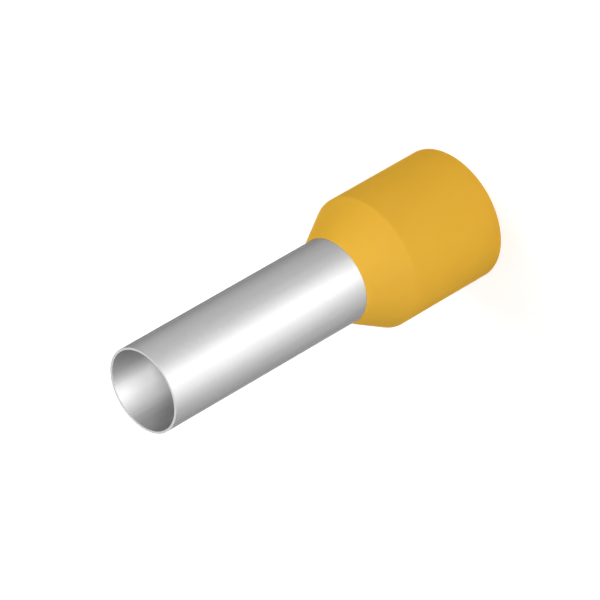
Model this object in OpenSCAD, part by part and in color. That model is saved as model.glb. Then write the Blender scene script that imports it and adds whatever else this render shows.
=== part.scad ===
// Insulated wire ferrule for 25 square millimetre stranded conductor.
// A thin drawn metal sleeve carries a moulded collar on one end. Inside the
// collar the sleeve's end is flared. The flare seats on the collar's inner
// cone: it leads the strands in, and keeps the sleeve from being pushed out
// through the collar's front.
// The ferrule stands on the collar's mouth. The origin is the centre of that
// mouth, and +Z runs along the axis towards the sleeve's tip.

/* [Sleeve] */
// Inside diameter of the sleeve, where the strands lie
bore_d = 7.3; // [6:0.1:8.2]
// Wall thickness of the sleeve
sleeve_wall = 0.2; // [0.15:0.01:0.35]
// Length of the sleeve in front of the collar
bare_length = 22; // [10:0.5:40]
// Radius of the bend into the flare, on the sleeve's outer surface
flare_bend_r = 0.6; // [0.3:0.05:0.9]
// Radius on the corners of the sleeve's two cut ends
cut_edge_r = 0.04; // [0.02:0.01:0.06]

/* [Collar] */
// Inside diameter of the collar's skirt, where the wire's insulation goes
skirt_bore_d = 11.2; // [10.6:0.1:14]
// Wall thickness of the skirt
skirt_wall = 0.4; // [0.3:0.05:0.8]
// Length of the collar, from its mouth to its front edge
collar_length = 14; // [11:0.5:24]
// Length of the outer cone, from the shoulder to the front edge
cone_length = 3.75; // [3:0.25:5]
// Wall thickness of the cone, measured square to its surface
cone_wall = 0.6; // [0.4:0.05:0.8]
// Thickness of the front edge, where the collar feathers out on the sleeve
front_lip = 0.04; // [0.02:0.01:0.2]
// Radius on the shoulder between skirt and cone
shoulder_round_r = 0.15; // [0.05:0.05:0.15]
// Radius inside the shoulder, where the inner cone runs into the skirt's bore
core_round_r = 0.3; // [0.1:0.05:0.5]
// Radius on the outer corner of the mouth
mouth_round_r = 0.08; // [0.04:0.02:0.14]
// Width and depth of the lead-in bevel inside the mouth
mouth_bevel = 0.15; // [0.05:0.05:0.15]

/* [Fit] */
// Gap between the sleeve's outer surface and the collar
seat_gap = 0.01; // [0.005:0.005:0.03]
// Radial distance from the flare's rim to the skirt's bore
flare_inset = 0.4; // [0.2:0.05:0.6]

/* [Hidden] */
$fa = 2.5;
$fs = 0.02;
// Steps of each round in the two sections
round_steps = 6;

// Sleeve radii. The corner radius stays under a third of the wall, so that a
// cut end keeps its flat.
bore_r = bore_d / 2;
sleeve_r = bore_r + sleeve_wall;
edge_r = min(cut_edge_r, sleeve_wall / 3);

// Collar radii
skirt_bore_r = skirt_bore_d / 2;
collar_r = skirt_bore_r + skirt_wall;
grip_r = sleeve_r + seat_gap;
front_r = grip_r + front_lip;

// Heights above the mouth
shoulder_z = collar_length - cone_length;
tip_z = collar_length + bare_length;

// Angle between the cone and the axis. The inner cone and the flare share it,
// so the outer cone, the inner cone and the flare are parallel.
cone_angle = atan2(collar_r - front_r, cone_length);

// Height at which the inner cone would reach a given radius: the outer cone
// moved down the axis by its wall
cone_drop = cone_wall / sin(cone_angle);
function inner_cone_z(radius) =
    shoulder_z - cone_drop + (collar_r - radius) / tan(cone_angle);

// The sleeve's bend and the round that it seats on share one centre. It lies
// at the height where the round leaves the grip bore.
seat_round_r = flare_bend_r - seat_gap;
bend_x = sleeve_r + flare_bend_r;
bend_z = inner_cone_z(grip_r) + seat_round_r * tan(cone_angle / 2);

// Length of the flare's straight wall, which ends at the rim's radius
flare_r = skirt_bore_r - flare_inset;
flare_start_r = bend_x - flare_bend_r * cos(cone_angle);
flare_run = (flare_r - flare_start_r) / sin(cone_angle);

// Points of an arc about a centre, from one angle to another
function arc(centre, radius, from, to) = [
    for (i = [0:round_steps])
        let (angle = from + (to - from) * i / round_steps)
            centre + radius * [cos(angle), sin(angle)]
];

// Point of the flare's wall in section: how far it lies from the bend's
// centre, square to the cone, and how far down the flare
function flare_point(depth, run) = [
    bend_x - depth * cos(cone_angle) + run * sin(cone_angle),
    bend_z - depth * sin(cone_angle) - run * cos(cone_angle)
];

// Section of the sleeve, counter-clockwise from the tip: down the bore and
// the funnel, round the flare's rim, and back up the outside to the tip
module sleeve_section() {
    inner_bend_r = flare_bend_r + sleeve_wall;
    rim_inner = flare_point(inner_bend_r - edge_r, flare_run - edge_r);
    rim_outer = flare_point(flare_bend_r + edge_r, flare_run - edge_r);
    polygon(concat(
        arc([bore_r + edge_r, tip_z - edge_r], edge_r, 90, 180),
        arc([bend_x, bend_z], inner_bend_r, 180, 180 + cone_angle),
        arc(rim_inner, edge_r, 180 + cone_angle, 270 + cone_angle),
        arc(rim_outer, edge_r, 270 + cone_angle, 360 + cone_angle),
        arc([bend_x, bend_z], flare_bend_r, 180 + cone_angle, 180),
        arc([sleeve_r - edge_r, tip_z - edge_r], edge_r, 0, 90)
    ));
}

// Section of the collar, counter-clockwise from the inner edge of its mouth:
// up the outside over the shoulder and the cone, back down the grip bore,
// round the seat, and down the inner cone and the skirt's bore
module collar_section() {
    shoulder_cut = shoulder_round_r * tan(cone_angle / 2);
    core_round_x = skirt_bore_r - core_round_r;
    core_round_z = inner_cone_z(skirt_bore_r) - core_round_r * tan(cone_angle / 2);
    polygon(concat(
        [[skirt_bore_r + mouth_bevel, 0]],
        arc([collar_r - mouth_round_r, mouth_round_r], mouth_round_r, -90, 0),
        arc([collar_r - shoulder_round_r, shoulder_z - shoulder_cut], shoulder_round_r, 0, cone_angle),
        [
            [front_r, collar_length],
            [grip_r, collar_length]
        ],
        arc([bend_x, bend_z], seat_round_r, 180, 180 + cone_angle),
        arc([core_round_x, core_round_z], core_round_r, cone_angle, 0),
        [[skirt_bore_r, mouth_bevel]]
    ));
}

// Drawn sleeve, open at both ends
module sleeve() {
    color("#c9cbcc")
        rotate_extrude()
            sleeve_section();
}

// Moulded collar, open at the mouth and round the sleeve
module collar() {
    color("#ecb73c")
        rotate_extrude()
            collar_section();
}

sleeve();
collar();
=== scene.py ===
import math

import bpy
import numpy as np
from mathutils import Matrix, Vector


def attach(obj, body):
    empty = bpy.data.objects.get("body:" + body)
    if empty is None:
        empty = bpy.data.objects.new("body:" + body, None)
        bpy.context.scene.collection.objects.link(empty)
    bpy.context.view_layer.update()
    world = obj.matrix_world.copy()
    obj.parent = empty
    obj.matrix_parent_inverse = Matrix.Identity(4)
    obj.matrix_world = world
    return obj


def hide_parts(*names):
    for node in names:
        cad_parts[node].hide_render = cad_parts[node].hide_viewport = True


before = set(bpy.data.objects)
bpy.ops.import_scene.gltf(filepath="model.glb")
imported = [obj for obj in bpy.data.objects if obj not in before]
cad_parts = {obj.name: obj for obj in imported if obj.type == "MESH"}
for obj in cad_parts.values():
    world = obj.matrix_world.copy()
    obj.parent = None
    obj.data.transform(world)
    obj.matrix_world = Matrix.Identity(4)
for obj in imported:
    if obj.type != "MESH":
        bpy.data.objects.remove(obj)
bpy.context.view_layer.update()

mm = 0.001
print("frame loaded:", sorted(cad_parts))


# colours and nodes

# sRGB hex such as #c9cbcc to linear RGBA: c / 12.92 up to 0.04045, else ((c + 0.055) / 1.055) ^ 2.4
def toLinear(hexColour):
    values = [int(hexColour[i:i + 2], 16) / 255 for i in (1, 3, 5)]
    linear = [c / 12.92 if c <= 0.04045 else ((c + 0.055) / 1.055) ** 2.4 for c in values]
    return (*linear, 1.0)


# Adds one node. settings are its properties, values its sockets' values, and links what feeds them.
def addNode(tree, kind, values=None, links=None, **settings):
    node = tree.nodes.new(kind)
    for name, value in settings.items():
        setattr(node, name, value)
    for name, value in (values or {}).items():
        node.inputs[name].default_value = value
    for name, source in (links or {}).items():
        tree.links.new(source, node.inputs[name])
    return node


# Material with an empty node tree
def newMaterial(name):
    material = bpy.data.materials.new(name)
    material.use_nodes = True
    material.node_tree.nodes.clear()
    return material


# turned shapes: an outline of (radius, height) in mm, carried round the Z axis

# Arc: centre + radius * (cos a, sin a), for a in even steps from start to stop, in degrees
def arcPoints(centre, radius, start, stop, steps=10):
    angles = np.radians(np.linspace(start, stop, steps + 1))
    return np.asarray(centre) + radius * np.column_stack([np.cos(angles), np.sin(angles)])


# Points between start and end, without them: start + f * (end - start). One lies edgeRow from each end, so
# that the rounds shade crisply, and the rest lie at even steps of rowLength at most. A run that is too short
# for those has none.
def straightPoints(start, end, rowLength, edgeRow=0.03):
    length = np.linalg.norm(end - start)
    if length < 4 * edgeRow:
        return np.empty((0, 2))
    steps = math.ceil(length / rowLength)
    fractions = np.linspace(edgeRow / length, 1 - edgeRow / length, steps + 1)
    return start + np.outer(fractions, end - start)


# Joins arcs and corner points, in order and back to the first, by straight runs
def closedOutline(parts, rowLength):
    joined = []
    for part, following in zip(parts, parts[1:] + parts[:1]):
        joined += [part, straightPoints(part[-1], following[0], rowLength)]
    return np.vstack(joined)


# Surface of revolution: x = radius * cos t, y = radius * sin t, z = height, for t in even steps round a full
# turn. The outline is closed and runs counter-clockwise, so the faces point outwards.
def turnedPiece(name, outline, segments):
    turn = np.linspace(0, 2 * np.pi, segments, endpoint=False)
    radius, height = outline.T
    x = np.cos(turn)[:, None] * radius
    y = np.sin(turn)[:, None] * radius
    z = np.broadcast_to(height, x.shape)
    points = np.stack([x, y, z], axis=-1).reshape(-1, 3) * mm
    rows = len(outline)
    around, along = np.meshgrid(np.arange(segments), np.arange(rows), indexing="ij")
    nextAround = (around + 1) % segments
    nextAlong = (along + 1) % rows
    corners = [around * rows + along, nextAround * rows + along,
               nextAround * rows + nextAlong, around * rows + nextAlong]
    quads = np.stack(corners, axis=-1).reshape(-1, 4)
    mesh = bpy.data.meshes.new(name)
    mesh.from_pydata(points, [], quads)
    mesh.polygons.foreach_set("use_smooth", np.ones(len(quads), dtype=bool))
    mesh.update()
    piece = bpy.data.objects.new(name, mesh)
    bpy.context.scene.collection.objects.link(piece)
    print(f"{name}: {len(points)} points, {2 * len(quads)} triangles")
    return piece


# the two pieces, with the sizes of the part's source, in mm

sleeve = {
    "boreRadius": 3.65,
    "wall": 0.2,
    "tipHeight": 36.0,
    "bendRadius": 0.6,  # bend into the flare, on the outside
    "cutEdge": 0.04,  # radius on the corners of the cut ends
    "cornerSteps": 6,  # rows of faces round each of those corners
    "flareRadius": 5.2,  # where the flare's straight wall would end
    "segments": 384,  # faces round the axis
    "rowLength": 0.8,  # longest row of faces along a straight wall
}
collar = {
    "boreRadius": 5.6,  # skirt
    "wall": 0.4,
    "length": 14.0,
    "coneLength": 3.75,
    "coneWall": 0.6,
    "frontLip": 0.04,
    "seatGap": 0.01,  # between the sleeve's outside and the collar
    "shoulderRound": 0.15,
    "coreRound": 0.3,  # inside the shoulder, where the skirt's bore meets the inner cone
    "mouthRound": 0.08,
    "mouthSteps": 8,  # rows of faces round the mouth's outer corner
    "mouthBevel": 0.15,
    "segments": 384,
    "rowLength": 0.8,
}

sleeveRadius = sleeve["boreRadius"] + sleeve["wall"]
collarRadius = collar["boreRadius"] + collar["wall"]
gripRadius = sleeveRadius + collar["seatGap"]
frontRadius = gripRadius + collar["frontLip"]
shoulderHeight = collar["length"] - collar["coneLength"]
coneAngle = math.degrees(math.atan2(collarRadius - frontRadius, collar["coneLength"]))
coneSin = math.sin(math.radians(coneAngle))
coneCos = math.cos(math.radians(coneAngle))
coneTan = coneSin / coneCos
halfTan = math.tan(math.radians(coneAngle / 2))
squareToFlare = np.array([-coneCos, -coneSin])
downFlare = np.array([coneSin, -coneCos])


# Height of the inner cone at a radius: the outer cone, moved down the axis by its wall
def innerConeHeight(radius):
    return shoulderHeight - collar["coneWall"] / coneSin + (collarRadius - radius) / coneTan


seatRound = sleeve["bendRadius"] - collar["seatGap"]
bendCentre = np.array([sleeveRadius + sleeve["bendRadius"],
                       innerConeHeight(gripRadius) + seatRound * halfTan])
flareRun = (sleeve["flareRadius"] - bendCentre[0] + sleeve["bendRadius"] * coneCos) / coneSin


# Point of the flare's wall: bend's centre + depth * squareToFlare + run * downFlare, where depth is square to
# the cone and run goes down the flare
def flarePoint(depth, run):
    return bendCentre + depth * squareToFlare + run * downFlare


# From the tip down the bore and the funnel, round the flare's rim, and up the outside to the tip
def sleeveOutline():
    edge = sleeve["cutEdge"]
    steps = sleeve["cornerSteps"]
    outerBend = sleeve["bendRadius"]
    innerBend = outerBend + sleeve["wall"]
    tip = sleeve["tipHeight"] - edge
    rim = flareRun - edge
    return closedOutline([
        arcPoints((sleeve["boreRadius"] + edge, tip), edge, 90, 180, steps),
        arcPoints(bendCentre, innerBend, 180, 180 + coneAngle),
        arcPoints(flarePoint(innerBend - edge, rim), edge, 180 + coneAngle, 270 + coneAngle, steps),
        arcPoints(flarePoint(outerBend + edge, rim), edge, 270 + coneAngle, 360 + coneAngle, steps),
        arcPoints(bendCentre, outerBend, 180 + coneAngle, 180),
        arcPoints((sleeveRadius - edge, tip), edge, 0, 90, steps),
    ], sleeve["rowLength"])


# From the mouth up the outside, over the shoulder and the cone, and back down the grip bore, round the seat,
# down the inner cone and the skirt's bore
def collarOutline():
    mouth = collar["mouthRound"]
    shoulder = collar["shoulderRound"]
    core = collar["coreRound"]
    bore = collar["boreRadius"]
    coreCentre = (bore - core, innerConeHeight(bore) - core * halfTan)
    return closedOutline([
        np.array([[bore + collar["mouthBevel"], 0.0]]),
        arcPoints((collarRadius - mouth, mouth), mouth, -90, 0, collar["mouthSteps"]),
        arcPoints((collarRadius - shoulder, shoulderHeight - shoulder * halfTan), shoulder, 0, coneAngle),
        np.array([[frontRadius, collar["length"]], [gripRadius, collar["length"]]]),
        arcPoints(bendCentre, seatRound, 180, 180 + coneAngle),
        arcPoints(coreCentre, core, coneAngle, 0),
        np.array([[bore, collar["mouthBevel"]]]),
    ], collar["rowLength"])


# Gives each row of the sleeve's faces the number of its finish, by the row's middle: 2, sheared, within a
# corner radius of the tip's height or of the flare's full run, else 1, burnished, on the inner side of the
# wall's middle, else 0, drawn. The sheared rows get painted shade and the burnished rows painted light.
def setFinishes(piece, outline, segments):
    middle = (outline + np.roll(outline, -1, axis=0)) / 2
    away = middle - bendCentre
    sheared = middle[:, 1] > sleeve["tipHeight"] - sleeve["cutEdge"]
    sheared |= away @ downFlare > flareRun - sleeve["cutEdge"]
    inside = middle[:, 0] < sleeve["boreRadius"] + sleeve["wall"] / 2
    inside |= away @ squareToFlare > sleeve["bendRadius"] + sleeve["wall"] / 2
    finish = np.where(sheared, 2, np.where(inside, 1, 0))
    piece.data.polygons.foreach_set("material_index", np.tile(finish, segments))


sleeveProfile = sleeveOutline()
sleeveTube = turnedPiece("sleeve_tube", sleeveProfile, sleeve["segments"])
collarMoulding = turnedPiece("collar_moulding", collarOutline(), collar["segments"])


# materials

noiseSpan = {"From Min": 0.3, "From Max": 0.7}  # nearly all of a noise's values lie between these

tin = {
    "pale": "#868686",  # darker than freshly plated tin, for the soft grey flanks
    "dull": "#7f7f7f",
    "edgeTint": 0.1,  # what the plating keeps at a grazing look, so that the outlines stay dark
    "unevenness": 0.015,  # how much the drawing lines vary the roughness
    "lineSpacing": 0.25,  # mm. Real drawing lines lie about 0.05 mm apart, too fine to show here
    "lineLength": 12.0,  # mm
    "lineDepth": 0.0006,  # mm
    "grainSize": 0.5,  # mm, tin crystals and the bath's cloudiness
}
# The sleeve's finishes, in the order of their numbers on its faces. The flaring tool turns as it goes in, and
# leaves fine rings round the bore, which stretch its highlight along the axis. The shear leaves dull ends.
# shade scales the tin's colour: the bore's lighter colour is painted light inside the tube, and the cut ends'
# darker colour is painted shade on them.
tinFinishes = [
    {"name": "drawnTinPlatedCopper", "shade": 1.0, "roughness": 0.55, "stretch": 0.0},
    {"name": "burnishedTinPlatedCopperPaintedLight", "shade": 1.08, "roughness": 0.55, "stretch": 0.5},
    {"name": "shearedTinPlatedCopperPaintedShade", "shade": 0.84, "roughness": 0.95, "stretch": 0.0},
]


# Electroplated matte tin on drawn copper tube: a soft satin grey, with faint lines along the draw and a fine
# cloudy grain
def tinPlatedCopper(finish):
    material = newMaterial(finish["name"])
    tree = material.node_tree
    place = addNode(tree, "ShaderNodeTexCoord")
    stretched = addNode(tree, "ShaderNodeMapping",
                        {"Scale": (1, 1, tin["lineSpacing"] / tin["lineLength"])},
                        {"Vector": place.outputs["Object"]})
    lines = addNode(tree, "ShaderNodeTexNoise",
                    {"Scale": 1 / (tin["lineSpacing"] * mm), "Detail": 2.0, "Roughness": 0.6},
                    {"Vector": stretched.outputs["Vector"]})
    grain = addNode(tree, "ShaderNodeTexNoise",
                    {"Scale": 1 / (tin["grainSize"] * mm), "Detail": 4.0, "Roughness": 0.65},
                    {"Vector": place.outputs["Object"]})
    colour = addNode(tree, "ShaderNodeMix", data_type="RGBA", links={"Factor": grain.outputs["Fac"]})
    # Painted light and shade: shade makes the bore's tin lighter and the cut ends' tin darker
    for socket, tone in (("A", tin["dull"]), ("B", tin["pale"])):
        colour.inputs[socket].default_value = [finish["shade"] * c for c in toLinear(tone)[:3]] + [1.0]
    rough = addNode(tree, "ShaderNodeMapRange",
                    {**noiseSpan, "To Min": finish["roughness"] - tin["unevenness"],
                     "To Max": finish["roughness"] + tin["unevenness"]},
                    {"Value": lines.outputs["Fac"]})
    bump = addNode(tree, "ShaderNodeBump", {"Strength": 1.0, "Distance": tin["lineDepth"] * mm},
                   {"Height": lines.outputs["Fac"]})
    edge = tin["edgeTint"]
    shader = addNode(tree, "ShaderNodeBsdfPrincipled",
                     {"Metallic": 1.0, "Specular Tint": (edge, edge, edge, 1.0)},
                     {"Base Color": colour.outputs["Result"], "Roughness": rough.outputs["Result"],
                      "Normal": bump.outputs["Normal"]})
    if finish["stretch"] > 0:
        tangent = addNode(tree, "ShaderNodeTangent", direction_type="RADIAL", axis="Z")
        tree.links.new(tangent.outputs["Tangent"], shader.inputs["Tangent"])
        shader.inputs["Anisotropic"].default_value = finish["stretch"]
        shader.inputs["Anisotropic Rotation"].default_value = 0.25  # a quarter turn, from round to along
    addNode(tree, "ShaderNodeOutputMaterial", links={"Surface": shader.outputs["BSDF"]})
    return material


plastic = {
    "bright": "#efb72b",
    "deep": "#e9b127",
    "roughness": (0.82, 0.9),
    "ior": 1.49,
    "gloss": 0.1,  # low, because the fine texture breaks up the gloss
    "flowSize": 4.0,  # mm, slow tone changes along the melt's flow
    "textureSize": 0.2,  # mm. The tool's fine finish is about 0.05 mm, too fine to show here
    "textureDepth": 0.0015,  # mm
}


# Polypropylene moulded in a finely eroded tool: an even, matte yellow with a very fine grain
def mouldedPolypropylene():
    material = newMaterial("mouldedYellowPolypropylene")
    tree = material.node_tree
    place = addNode(tree, "ShaderNodeTexCoord")
    flow = addNode(tree, "ShaderNodeTexNoise",
                   {"Scale": 1 / (plastic["flowSize"] * mm), "Detail": 2.0},
                   {"Vector": place.outputs["Object"]})
    grain = addNode(tree, "ShaderNodeTexNoise",
                    {"Scale": 1 / (plastic["textureSize"] * mm), "Detail": 3.0, "Roughness": 0.6},
                    {"Vector": place.outputs["Object"]})
    colour = addNode(tree, "ShaderNodeMix", data_type="RGBA", links={"Factor": flow.outputs["Fac"]})
    colour.inputs["A"].default_value = toLinear(plastic["deep"])
    colour.inputs["B"].default_value = toLinear(plastic["bright"])
    smoothest, roughest = plastic["roughness"]
    rough = addNode(tree, "ShaderNodeMapRange", {**noiseSpan, "To Min": smoothest, "To Max": roughest},
                    {"Value": grain.outputs["Fac"]})
    bump = addNode(tree, "ShaderNodeBump", {"Strength": 1.0, "Distance": plastic["textureDepth"] * mm},
                   {"Height": grain.outputs["Fac"]})
    shader = addNode(tree, "ShaderNodeBsdfPrincipled",
                     {"IOR": plastic["ior"], "Specular IOR Level": plastic["gloss"]},
                     {"Base Color": colour.outputs["Result"], "Roughness": rough.outputs["Result"],
                      "Normal": bump.outputs["Normal"]})
    addNode(tree, "ShaderNodeOutputMaterial", links={"Surface": shader.outputs["BSDF"]})
    return material


for finish in tinFinishes:
    sleeveTube.data.materials.append(tinPlatedCopper(finish))
setFinishes(sleeveTube, sleeveProfile, sleeve["segments"])
collarMoulding.data.materials.append(mouldedPolypropylene())

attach(sleeveTube, "root")
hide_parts("sleeve")
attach(collarMoulding, "root")
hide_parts("collar")
print("pieces dressed")


# floor, world and lamps

studio = {
    "floorSize": 0.8,  # m
    "floorColour": "#cccccc",
    "floorGlow": 0.61,  # seen by the camera and in reflections, where 1 is white
    "skyGlow": 1.0,  # seen in the same way
    "worldLight": 0.43,  # what the surroundings give the object and the floor
}


# 1 for camera, glossy and transmission rays, else 0: the largest of the three
def seenRays(tree):
    rays = addNode(tree, "ShaderNodeLightPath").outputs
    nearer = addNode(tree, "ShaderNodeMath", operation="MAXIMUM",
                     links={0: rays["Is Camera Ray"], 1: rays["Is Glossy Ray"]})
    return addNode(tree, "ShaderNodeMath", operation="MAXIMUM",
                   links={0: nearer.outputs[0], 1: rays["Is Transmission Ray"]}).outputs[0]


# Matte white paper sweep. Its glow is only seen, by the camera and in metal, and lights nothing.
def matteWhitePaper():
    material = newMaterial("matteWhitePaper")
    tree = material.node_tree
    paper = addNode(tree, "ShaderNodeBsdfDiffuse", {"Color": toLinear(studio["floorColour"])})
    strength = addNode(tree, "ShaderNodeMath", {1: studio["floorGlow"]}, {0: seenRays(tree)},
                       operation="MULTIPLY")
    glow = addNode(tree, "ShaderNodeEmission", links={"Strength": strength.outputs[0]})
    both = addNode(tree, "ShaderNodeAddShader", links={0: paper.outputs[0], 1: glow.outputs[0]})
    addNode(tree, "ShaderNodeOutputMaterial", links={"Surface": both.outputs[0]})
    return material


half = studio["floorSize"] / 2
floorCorners = [(-half, -half, 0), (half, -half, 0), (half, half, 0), (-half, half, 0)]
floorMesh = bpy.data.meshes.new("floor")
floorMesh.from_pydata(floorCorners, [], [(0, 1, 2, 3)])
floorMesh.materials.append(matteWhitePaper())
floor = bpy.data.objects.new("floor", floorMesh)
bpy.context.scene.collection.objects.link(floor)

world = bpy.data.worlds.new("studio")
world.use_nodes = True
worldTree = world.node_tree
worldTree.nodes.clear()
brightness = addNode(worldTree, "ShaderNodeMapRange",
                     {"To Min": studio["worldLight"], "To Max": studio["skyGlow"]},
                     {"Value": seenRays(worldTree)})
sky = addNode(worldTree, "ShaderNodeBackground", {"Color": (1, 1, 1, 1)},
              {"Strength": brightness.outputs["Result"]})
addNode(worldTree, "ShaderNodeOutputWorld", links={"Surface": sky.outputs[0]})
bpy.context.scene.world = world

# Area lamps. Azimuth 0 is the camera's side and turns towards -X, in degrees. Lengths are in metres and
# powers in watts. The gloss lamps are seen in the metal and the plastic's gloss, and light nothing else.
lamps = {
    "keySoftbox": {"azimuth": 15, "elevation": 17, "distance": 0.5, "width": 0.4, "height": 0.25,
                   "power": 1.19, "onlyGloss": False},
    "sideSoftbox": {"azimuth": -105, "elevation": 50, "distance": 0.5, "width": 0.25, "height": 0.25,
                    "power": 0.8, "onlyGloss": False},
    "backSoftbox": {"azimuth": 180, "elevation": 25, "distance": 0.5, "width": 0.25, "height": 0.25,
                    "power": 0.4, "onlyGloss": False},
    "highGloss": {"azimuth": 27, "elevation": 38, "distance": 0.5, "width": 0.13, "height": 0.13,
                  "power": 11.8, "onlyGloss": True},
    "sideGloss": {"azimuth": -20, "elevation": 44, "distance": 0.5, "width": 0.15, "height": 0.15,
                  "power": 8.0, "onlyGloss": True},
    "lowGloss": {"azimuth": 15, "elevation": 18, "distance": 0.5, "width": 0.15, "height": 0.15,
                 "power": 2.5, "onlyGloss": True},
}
# Glowing cards on the floor, which put the long highlights on the barrel. They are only seen in gloss too.
# near and far are how far a card's ends lie from the ferrule's axis.
floorCards = {
    "mainCard": {"azimuth": 10, "near": 0.02, "far": 0.11, "width": 0.015, "power": 0.04},
    "wideCard": {"azimuth": 41, "near": 0.03, "far": 0.14, "width": 0.04, "power": 0.036},
    "leftCard": {"azimuth": -20, "near": 0.02, "far": 0.11, "width": 0.015, "power": 0.0077},
    "sideCard": {"azimuth": -85, "near": 0.03, "far": 0.14, "width": 0.06, "power": 0.0185},
    "backCard": {"azimuth": 180, "near": 0.02, "far": 0.12, "width": 0.02, "power": 0.06},
}
cardLift = 0.0002  # m, keeps the cards clear of the floor


# Rectangular area lamp at a place, a matrix whose -Z is the way it shines
def addLamp(name, width, height, power, onlyGloss, place):
    light = bpy.data.lights.new(name, "AREA")
    light.shape = "RECTANGLE"
    light.size = width
    light.size_y = height
    light.energy = power
    lamp = bpy.data.objects.new(name, light)
    lamp.matrix_world = place
    lamp.visible_camera = False
    lamp.visible_diffuse = not onlyGloss
    bpy.context.scene.collection.objects.link(lamp)


# Point round the ferrule's foot: distance * (-sin a cos e, -cos a cos e, sin e), with the angles in degrees
def roundObject(azimuth, elevation, distance):
    turn = math.radians(azimuth)
    rise = math.radians(elevation)
    reach = math.cos(rise)
    return distance * Vector((-math.sin(turn) * reach, -math.cos(turn) * reach, math.sin(rise)))


aim = Vector((0, 0, sleeve["tipHeight"] / 2 * mm))  # the ferrule's middle
for name, lamp in lamps.items():
    away = roundObject(lamp["azimuth"], lamp["elevation"], lamp["distance"])
    place = Matrix.Translation(aim + away) @ away.to_track_quat("Z", "Y").to_matrix().to_4x4()
    addLamp(name, lamp["width"], lamp["height"], lamp["power"], lamp["onlyGloss"], place)

faceUp = Matrix.Rotation(math.pi, 4, "X")
for name, card in floorCards.items():
    middle = roundObject(card["azimuth"], 0, (card["near"] + card["far"]) / 2)
    turned = Matrix.Rotation(-math.radians(card["azimuth"]), 4, "Z")
    place = Matrix.Translation(middle + Vector((0, 0, cardLift))) @ turned @ faceUp
    addLamp(name, card["width"], card["far"] - card["near"], card["power"], True, place)
print("studio lit")


# camera

view = {
    "eye": (0.01, -376.334, 284.071),  # mm
    "elevation": 35.264,  # degrees above the horizon, looking along +Y
    "roll": -120.0,  # the photo shows the ferrule's axis running down to the left
    "lens": 333.34,  # mm
    "sensor": 36.0,  # mm
    "nearest": 0.01,  # m
    "farthest": 20.0,  # m
}
cameraData = bpy.data.cameras.new("camera")
cameraData.lens = view["lens"]
cameraData.sensor_width = view["sensor"]
cameraData.sensor_fit = "HORIZONTAL"
cameraData.clip_start = view["nearest"]
cameraData.clip_end = view["farthest"]
camera = bpy.data.objects.new("camera", cameraData)
tilt = Matrix.Rotation(math.radians(90 - view["elevation"]), 4, "X")
roll = Matrix.Rotation(math.radians(view["roll"]), 4, "Z")
camera.matrix_world = Matrix.Translation(Vector(view["eye"]) * mm) @ tilt @ roll
bpy.context.scene.collection.objects.link(camera)
bpy.context.scene.camera = camera
bpy.context.scene.view_settings.view_transform = "Standard"
print("camera placed")
